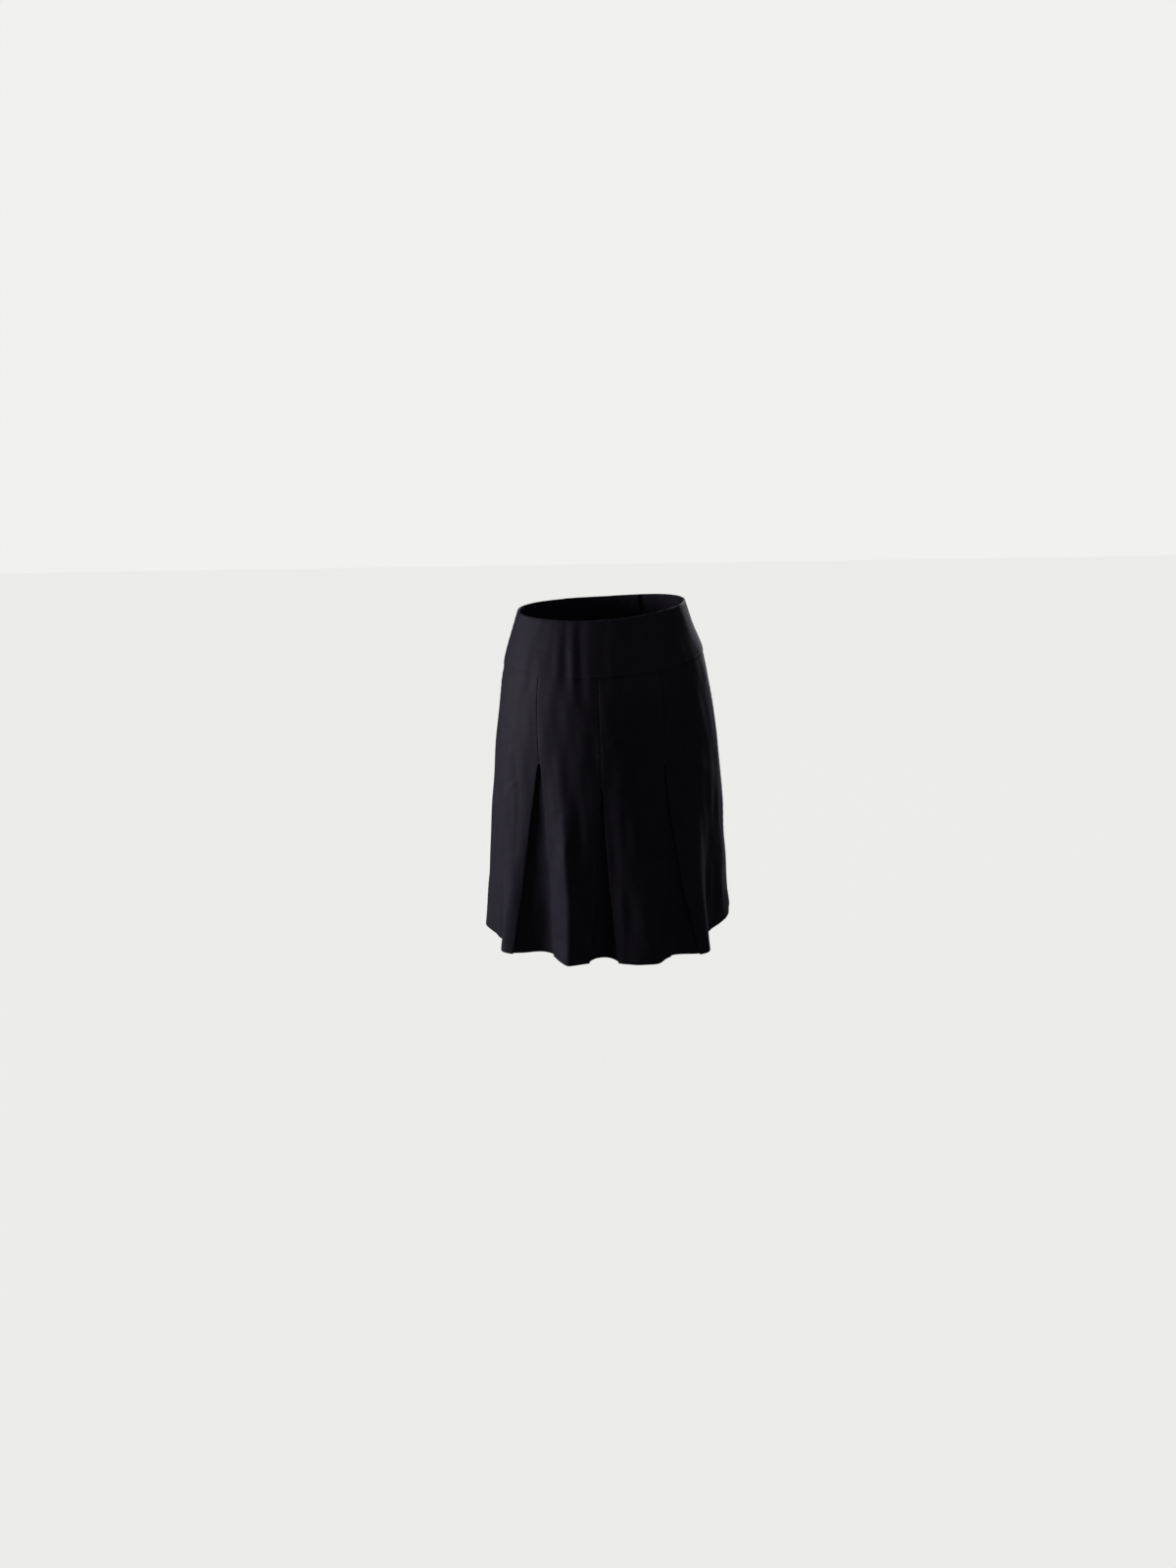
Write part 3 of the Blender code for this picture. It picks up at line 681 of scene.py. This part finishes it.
def newMaterial(name):
    material = bpy.data.materials.new(name)
    material.use_nodes = True
    tree = material.node_tree
    return material, tree, tree.nodes["Principled BSDF"]


def mathNode(tree, operation, *values):
    return addNode(tree, "ShaderNodeMath", dict(enumerate(values)), operation=operation).outputs[0]


def makeWool():
    # nearly black navy, matte, with a faint mottle and fine slanting ribs that break up the light
    material, tree, shader = newMaterial("navy black wool twill")
    uv = addNode(tree, "ShaderNodeUVMap", uv_map="cloth").outputs["UV"]
    place = addNode(tree, "ShaderNodeTexCoord").outputs["Object"]
    mottle = addNode(tree, "ShaderNodeTexNoise", {"Vector": place, "Scale": 55.0, "Detail": 3.0})
    # twill ribs 1.6 mm apart, three times real size, so that they show from a step away
    lean = (0, 0, math.radians(63))
    slanted = addNode(tree, "ShaderNodeMapping", {"Vector": uv, "Rotation": lean}).outputs["Vector"]
    twill = addNode(
        tree, "ShaderNodeTexWave", {"Vector": slanted, "Scale": 196.0, "Distortion": 0.6, "Detail": 1.0}
    )
    slub = addNode(tree, "ShaderNodeTexNoise", {"Vector": slanted, "Scale": 900.0, "Detail": 2.0})
    ribs = mathNode(tree, "MULTIPLY", twill.outputs["Fac"], slub.outputs["Fac"])
    shade = mathNode(tree, "MULTIPLY_ADD", ribs, 0.55, 0.0)
    both = mathNode(tree, "ADD", shade, mottle.outputs["Fac"])
    share = mathNode(tree, "SUBTRACT", both, 0.25)
    dark, light = linearColour("#15131b"), linearColour("#211d2c")
    colour = addNode(tree, "ShaderNodeMix", {0: share, 6: dark, 7: light}, data_type="RGBA")
    tree.links.new(colour.outputs[2], shader.inputs["Base Color"])
    bump = addNode(tree, "ShaderNodeBump", {"Height": ribs, "Strength": 0.5, "Distance": 0.00025})
    tree.links.new(bump.outputs["Normal"], shader.inputs["Normal"])
    shader.inputs["Roughness"].default_value = 0.68
    shader.inputs["Specular IOR Level"].default_value = 0.14  # fine worsted gives only a faint broad shine
    shader.inputs["Sheen Weight"].default_value = 0.08
    shader.inputs["Sheen Roughness"].default_value = 0.35
    shader.inputs["Sheen Tint"].default_value = (0.62, 0.62, 0.80, 1.0)
    return material


def makePlain(name, hexColour, roughness, coat=0.0):
    material, _, shader = newMaterial(name)
    shader.inputs["Base Color"].default_value = linearColour(hexColour)
    shader.inputs["Roughness"].default_value = roughness
    shader.inputs["Coat Weight"].default_value = coat
    return material


backdrop = linearColour("#f1f1ef")


def makeFloorPaint():
    # an evenly lit floor that meets the backdrop softly and throws little light back on the skirt
    material, tree, shader = newMaterial("pale studio floor")
    shader.inputs["Base Color"].default_value = linearColour("#4a4a49")
    shader.inputs["Roughness"].default_value = 0.9
    glow = addNode(tree, "ShaderNodeEmission", {"Color": backdrop, "Strength": 0.98})
    path = addNode(tree, "ShaderNodeLightPath")
    share = mathNode(tree, "MULTIPLY", path.outputs["Is Camera Ray"], 0.97)
    both = addNode(tree, "ShaderNodeMixShader", {"Fac": share})
    tree.links.new(shader.outputs["BSDF"], both.inputs[1])
    tree.links.new(glow.outputs["Emission"], both.inputs[2])
    tree.links.new(both.outputs["Shader"], tree.nodes["Material Output"].inputs["Surface"])
    return material


wool = makeWool()
# sewing thread is a shade lighter than the cloth, so that the stitches just show
thread = makePlain("dark thread", "#1c1a24", 0.55)
# the buttons are hard and dark, with a small clear highlight
polyester = makePlain("dark polyester button", "#141318", 0.28, 0.3)
floorPaint = makeFloorPaint()
print("stage: materials made")


def columnsFor(arc):
    return max(6, int(round(arc / cloth["columnStep"])))


def finishPiece(piece, node):
    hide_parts(node)
    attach(piece, "root")


def makeYokes():
    backRows = [backYokeRow(d, columnsFor(0.44)) for d in yokeRows]
    finishPiece(addShell("backYoke", backRows, wool), "back_yoke")
    for which, node, area in (("outer", "front_yoke_outer", 0.0213), ("inner", "front_yoke_inner", 0.0202)):
        rows = []
        for drop in yokeRows:
            dip = stitchDip(drop) if which == "outer" else 0.0
            rows.append(frontRow(drop, which, yokeWallAt(drop) - dip, dip, columnsFor(0.27), 0.0))
        finishPiece(addShell("frontYoke" + which.title(), rows, wool), node)


def makePanels():
    for name, node, right, left, arc, flat, area in (
        ("sideBackRight", "back_panel_side_right", -90.0, "right", 0.20, (0.215, 0.455), 0.0799),
        ("centreBackRight", "back_panel_centre_right", "right", "centre", 0.11, (0.155, 0.455), 0.0623),
        ("centreBackLeft", "back_panel_centre_left", "centre", "left", 0.09, (0.150, 0.455), 0.0596),
        ("sideBackLeft", "back_panel_side_left", "left", 90.0, 0.19, (0.205, 0.455), 0.0765),
    ):
        rows = [panelRow(d, right, left, columnsFor(arc)) for d in clothRows]
        finishPiece(addShell(name, rows, wool), node)
    for side, area in (("left", 0.0323), ("centre", 0.0284), ("right", 0.0279)):
        rows = [underlayRow(d, pleats[side], columnsFor(0.085)) for d in clothRows]
        underlay = addShell(side + "PleatUnderlay", rows, wool)
        finishPiece(underlay, "pleat_underlay_" + side)


def makeAprons():
    columns, wall = columnsFor(0.37), cloth["wall"]
    for which, area in (("outer", 0.1489), ("inner", 0.1465)):
        rows = [frontRow(d, which, wall, tuck(d), columns, hemFold(d)) for d in clothRows]
        apron = addShell("frontApron" + which.title(), rows, wool)
        finishPiece(apron, "front_apron_" + which)


seamTurning = {
    "halfWidth": 0.012,
    "behind": 0.0002,
    "groove": 0.0004,
    "grooveHalf": 0.0012,
    "columns": 15,
    "bunches": 1.5,  # columns lie closer together at the groove
    "yokeEnds": 0.0705,
}


def turningRow(drop, seam, behind, wall):
    # both turnings of a side seam, pressed open, with a groove where they meet
    level = Level(drop)
    away = np.linspace(-1, 1, seamTurning["columns"])
    away = np.sign(away) * np.abs(away) ** seamTurning["bunches"] * seamTurning["halfWidth"]
    groove = seamTurning["groove"] * np.exp(-((away / seamTurning["grooveHalf"]) ** 2))
    depth = behind + seamTurning["behind"]
    return level.layers(seam + away * level.step(1.0, seam), depth, depth + wall - groove)


def makeSeamTurnings():
    wall = cloth["wall"]
    for side, seam in (("left", cut["leftSeam"]), ("right", cut["rightSeam"])):
        skirtRows = [turningRow(d, seam, tuck(d) + wall + hemFold(d), wall) for d in clothRows]
        upperRows = [d for d in yokeRows if d < seamTurning["yokeEnds"]]
        yokeTurnings = [turningRow(d, seam, yokeWallAt(d), wall) for d in upperRows]
        for name, rows, length, behind in (
            (side + "SeamTurnings", skirtRows, 0.449, "backYoke"),
            (side + "YokeSeamTurnings", yokeTurnings, 0.070, "waist"),
        ):
            piece = addShell(name, rows, wool)
            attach(piece, "root")


makeYokes()
print("stage: yokes made")
makePanels()
print("stage: back panels and pleats made")
makeAprons()
print("stage: wrap front made")
makeSeamTurnings()
print("stage: seam turnings made")

stitch = {
    "length": 0.0024,
    "gap": 0.0005,
    "thick": 0.00045,
    "sides": 6,
    "flat": 0.7,
    "arch": 0.25,
    "sits": 0.8,  # share of a groove's depth at which its thread lies
    "rowStep": 0.003,
}
# place along a stitch, share of its thickness
stitchProfile = ((0.0, 0.35), (0.12, 0.85), (0.5, 1.0), (0.88, 0.85), (1.0, 0.35))


def addStitches(name, places):
    # places are (start, end, outward) of every stitch
    points, faces = [], []
    sides, rings = stitch["sides"], len(stitchProfile) - 1
    for start, end, outward in places:
        length = np.linalg.norm(end - start)
        along = (end - start) / length
        across = np.cross(outward, along)
        across /= np.linalg.norm(across)
        up = np.cross(along, across)
        base = len(points)
        for share, size in stitchProfile:
            arch = up * stitch["thick"] * stitch["arch"] * math.sin(math.pi * share)
            middle = start + along * length * share + arch
            for k in range(sides):
                turn = 2 * math.pi * k / sides
                spoke = across * math.cos(turn) + up * stitch["flat"] * math.sin(turn)
                points.append(middle + spoke * stitch["thick"] / 2 * size)
        for ring in range(rings):
            for k in range(sides):
                a, b = base + ring * sides + k, base + ring * sides + (k + 1) % sides
                faces.append((a, b, b + sides, a + sides))
        faces.append(tuple(base + k for k in range(sides))[::-1])
        faces.append(tuple(base + rings * sides + k for k in range(sides)))
    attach(addMesh(name, points, faces, thread), "root")


def stitchesAlong(path):
    # cuts a smooth line of (point, outward) into stitches
    points = np.array([p for p, _ in path])
    normals = np.array([n for _, n in path])
    run = np.concatenate([[0], np.cumsum(np.linalg.norm(np.diff(points, axis=0), axis=1))])
    pitch = stitch["length"] + stitch["gap"]
    places = []
    for k in range(int(run[-1] / pitch)):
        ends = [k * pitch + stitch["gap"] / 2, k * pitch + stitch["gap"] / 2 + stitch["length"]]
        start, end = (np.array([np.interp(s, run, points[:, i]) for i in range(3)]) for s in ends)
        outward = np.array([np.interp(sum(ends) / 2, run, normals[:, i]) for i in range(3)])
        places.append((start, end, outward))
    return places


def yokeStitchLine(start, end):
    level = Level(yokeStitch["drop"])
    angles = np.linspace(start, end, 400)
    points = level.worn(level.inset(angles, yokeStitch["dips"] * stitch["sits"]))
    normals = np.concatenate([level.outward(angles), np.zeros((len(angles), 1))], axis=1)
    return stitchesAlong(list(zip(points, normals)))


def downStitchLine(angleAt, top, bottom, depthAt):
    # stitches running down the cloth, with angleAt and depthAt given for each drop
    path = []
    for drop in np.arange(top, bottom, stitch["rowStep"]):
        level = Level(float(drop))
        angle = angleAt(level)
        point = level.worn(level.inset(angle, depthAt(level)))
        path.append((point, np.append(level.outward(angle), 0.0)))
    return stitchesAlong(path)


def besideFreeEdge(level):
    edge = freeEdge(level.drop)
    return edge + level.step(wrap["stitchFromEdge"], edge)


def yokeThreadDepth(level):
    return wrap["stitchDips"] * stitch["sits"]


def apronThreadDepth(level):
    return tuck(level.drop) - edgeLift(level.drop, wrap["stitchFromEdge"]) + yokeThreadDepth(level)


def seamOf(pleat, drop):
    return sum(pleatEdges(pleat, drop)) / 2


# the centre pleat's seam is edge stitched on both sides for its last stretch
pleatStitch = {"away": 2.0, "top": 0.180, "bottom": 0.236, "lies": 0.00005}


def besidePleat(side):
    return downStitchLine(
        lambda level: seamOf(pleats["centre"], level.drop) + side * pleatStitch["away"],
        pleatStitch["top"],
        pleatStitch["bottom"],
        lambda level: tuck(level.drop) + pleatStitch["lies"],
    )


tack = {"strands": 5, "apart": 0.00042, "half": 0.0021, "below": 0.001, "lies": 0.0001}


def pleatTack(pleat):
    # a short bar of thread across the top of a pleat's opening
    places = []
    for k in range(tack["strands"]):
        level = Level(pleat["opens"] + tack["below"] + (k - tack["strands"] // 2) * tack["apart"])
        middle = seamOf(pleat, level.drop)
        half = level.step(tack["half"], middle)
        ends = np.array([middle + half, middle - half])
        start, end = level.worn(level.inset(ends, tuck(level.drop) + tack["lies"]))
        places.append((start, end, np.append(level.outward(middle), 0.0)))
    return places


def sewEdges():
    back = yokeStitchLine(-yokeStitch["backEnds"], yokeStitch["backEnds"])
    frontStarts = freeEdge(yokeStitch["drop"]) + yokeStitch["frontStarts"]
    addStitches("yokeEdgeStitches", back + yokeStitchLine(frontStarts, yokeStitch["frontEnds"]))
    onYoke = downStitchLine(besideFreeEdge, *wrap["yokeStitches"], yokeThreadDepth)
    onApron = downStitchLine(besideFreeEdge, *wrap["apronStitches"], apronThreadDepth)
    addStitches("wrapEdgeStitches", onYoke + onApron)
    addStitches("centrePleatStitches", besidePleat(1) + besidePleat(-1))
    addStitches("pleatTacks", [place for pleat in pleats.values() for place in pleatTack(pleat)])


sewEdges()
print("stage: stitches made")

buttonDrops = {"upper": 0.019, "lower": 0.058}
buttonSizes = {
    "radius": 0.0075,
    "thick": 0.0028,
    "rim": 0.0016,
    "lip": 0.0006,
    "dish": 0.0007,
    "rounding": 0.0004,
    "hole": 0.0008,
    "spacing": 0.0017,
    "pegLength": 0.02,
    "fromEdge": 0.016,
    "standsOff": 0.0005,
}


def buttonPlace(drop):
    # where a button sits, turned to lie against the yoke
    level = Level(drop)
    edge = freeEdge(drop)
    angle = edge + level.step(buttonSizes["fromEdge"], edge)
    above, below = Level(drop - buttonSizes["radius"] / 2), Level(drop + buttonSizes["radius"] / 2)
    down = below.worn(below.flat(angle)) - above.worn(above.flat(angle))
    outward = level.outward(angle)
    facing = np.cross(np.array([outward[1], -outward[0], 0.0]), down)
    facing /= np.linalg.norm(facing)
    if facing[0] * outward[0] + facing[1] * outward[1] < 0:
        facing = -facing
    seat = Vector(level.worn(level.flat(angle)) + facing * buttonSizes["standsOff"])
    turn = Vector(facing).to_track_quat("Z", "Y").to_matrix().to_4x4()
    return Matrix.Translation(seat) @ turn


def shapeButton(name):
    # a round button with a rim and a dished middle, lying flat at the origin
    bpy.ops.object.select_all(action="DESELECT")
    bpy.ops.mesh.primitive_cylinder_add(vertices=64, radius=buttonSizes["radius"], depth=buttonSizes["thick"])
    button = bpy.context.object
    button.name = name
    bpy.ops.transform.translate(value=(0, 0, buttonSizes["thick"] / 2))
    bpy.ops.object.transform_apply(location=True)
    bpy.ops.object.mode_set(mode="EDIT")
    bpy.ops.mesh.select_all(action="DESELECT")
    bpy.ops.object.mode_set(mode="OBJECT")
    for face in button.data.polygons:
        face.select = face.normal.z > 0.9
    bpy.ops.object.mode_set(mode="EDIT")
    bpy.ops.mesh.select_mode(type="FACE")
    bpy.ops.mesh.inset(thickness=buttonSizes["rim"])
    bpy.ops.mesh.inset(thickness=buttonSizes["lip"])
    bpy.ops.transform.translate(value=(0, 0, -buttonSizes["dish"]))
    bpy.ops.object.mode_set(mode="OBJECT")
    rounded = button.modifiers.new("rounded", "BEVEL")
    rounded.width = buttonSizes["rounding"]
    rounded.segments = 3
    rounded.limit_method = "ANGLE"
    rounded.angle_limit = math.radians(25)
    bpy.ops.object.modifier_apply(modifier="rounded")
    return button


def cutHoles(button):
    spacing = buttonSizes["spacing"]
    for x, y in ((-1, -1), (-1, 1), (1, -1), (1, 1)):
        place = (x * spacing, y * spacing, 0)
        bpy.ops.mesh.primitive_cylinder_add(
            vertices=24, radius=buttonSizes["hole"], depth=buttonSizes["pegLength"], location=place
        )
        peg = bpy.context.object
        cutting = button.modifiers.new("hole", "BOOLEAN")
        cutting.operation = "DIFFERENCE"
        cutting.object = peg
        bpy.context.view_layer.objects.active = button
        bpy.ops.object.modifier_apply(modifier="hole")
        bpy.data.objects.remove(peg, do_unlink=True)
    bpy.ops.object.select_all(action="DESELECT")
    button.select_set(True)
    bpy.context.view_layer.objects.active = button
    bpy.ops.object.shade_smooth_by_angle(angle=math.radians(35))


def sewOn(name, place):
    # thread crossing between the four holes, three passes each way
    outward = np.array(place.to_3x3() @ Vector((0, 0, 1)))
    reach, apart, lift = buttonSizes["spacing"], 0.0003, 0.0002
    face = buttonSizes["thick"] - buttonSizes["dish"] + lift
    places = []
    for way, height in ((1, face + lift), (-1, face)):
        for shift in (-apart, 0.0, apart):
            start = Vector((-reach + shift, -reach * way, height))
            end = Vector((reach + shift, reach * way, height))
            places.append((np.array(place @ start), np.array(place @ end), outward))
    addStitches(name + "Thread", places)


def makeButton(name, drop, node):
    button = shapeButton(name)
    cutHoles(button)
    place = buttonPlace(drop)
    button.data.transform(place)
    button.data.materials.clear()
    button.data.materials.append(polyester)
    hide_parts(node)
    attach(button, "root")
    sewOn(name, place)


buttonhole = {
    "strands": 26,
    "apart": 0.00058,
    "short": 0.0105,
    "slit": 0.00015,
    "reach": 0.0014,
    "lies": 0.00005,
}


def makeButtonhole(name, drop):
    # a worked slit that runs from the button towards the free edge, with overcast thread on both sides
    level = Level(drop)
    edge = freeEdge(drop)
    places = []
    for k in range(buttonhole["strands"]):
        away = buttonSizes["fromEdge"] - buttonhole["short"] + buttonhole["apart"] * k
        angle = edge + level.step(away, edge)
        for side in (-1, 1):
            rows = [Level(drop + side * buttonhole[end]) for end in ("slit", "reach")]
            start, end = (at.worn(at.inset(angle, buttonhole["lies"])) for at in rows)
            places.append((start, end, np.append(level.outward(angle), 0.0)))
    addStitches(name, places)


for which, drop in buttonDrops.items():
    makeButton(which + "Button", drop, "button_" + which)
for which, drop in buttonDrops.items():
    makeButtonhole(which + "Buttonhole", drop)
print("stage: buttons made")

lightColour = (0.97, 0.93, 1.0)  # a little cool, as the cloth's lit side shows
lightsAim = Vector((0, 0, -0.2))
lights = (
    ("keyLight", (2.85, 0.25, 0.1), 0.9, 78.0),
    ("frontLight", (-1.0, -2.6, 0.8), 1.4, 75.0),
    ("rightBackLight", (-2.0, 2.1, 0.5), 1.4, 5.0),
    ("topLight", (0.2, 0.9, 2.4), 1.2, 5.0),
)


def makeWorld():
    # a pale backdrop to the eye that gives the skirt only a weak even light
    world = bpy.data.worlds.new("studio")
    bpy.context.scene.world = world
    world.use_nodes = True
    tree = world.node_tree
    background = tree.nodes["Background"]
    background.inputs["Color"].default_value = backdrop
    background.inputs["Strength"].default_value = 0.07
    seen = addNode(tree, "ShaderNodeBackground", {"Color": backdrop, "Strength": 1.0})
    path = addNode(tree, "ShaderNodeLightPath")
    both = addNode(tree, "ShaderNodeMixShader", {"Fac": path.outputs["Is Camera Ray"]})
    tree.links.new(background.outputs["Background"], both.inputs[1])
    tree.links.new(seen.outputs["Background"], both.inputs[2])
    tree.links.new(both.outputs["Shader"], tree.nodes["World Output"].inputs["Surface"])


def makeStudio():
    bpy.ops.object.select_all(action="DESELECT")
    bpy.ops.mesh.primitive_plane_add(size=14, location=(0, 0, -1.0))
    floor = bpy.context.object
    floor.name = "studioFloor"
    floor.data.materials.append(floorPaint)
    makeWorld()
    for name, place, size, power in lights:
        data = bpy.data.lights.new(name, "AREA")
        data.color = lightColour
        data.size = size
        data.energy = power
        lamp = bpy.data.objects.new(name, data)
        lamp.location = place
        lamp.rotation_mode = "QUATERNION"
        lamp.rotation_quaternion = (Vector(place) - lightsAim).to_track_quat("Z", "Y")
        bpy.context.scene.collection.objects.link(lamp)


# the photo's camera: where it stands and the directions of its right, up and ahead
viewpoint = {
    "lens": 27.0,
    "sensor": 36.0,
    "stands": (-0.0955057, 1.788695, 0.351),
    "right": (-0.99782573, -0.06110179, -0.02470583),
    "up": (-0.00306556, -0.3314223, 0.94347753),
    "ahead": (0.06583623, -0.9415019, -0.33051439),
}


def makeCamera():
    lens = bpy.data.cameras.new("camera")
    lens.lens = viewpoint["lens"]
    lens.sensor_width = viewpoint["sensor"]
    camera = bpy.data.objects.new("camera", lens)
    bpy.context.scene.collection.objects.link(camera)
    right, up, ahead = (Vector(viewpoint[way]) for way in ("right", "up", "ahead"))
    turn = Matrix((right, up, -ahead)).transposed().to_4x4()
    camera.matrix_world = Matrix.Translation(viewpoint["stands"]) @ turn
    bpy.context.scene.camera = camera


makeStudio()
makeCamera()
bpy.context.scene.view_settings.view_transform = "Standard"
print("stage: studio and camera made")
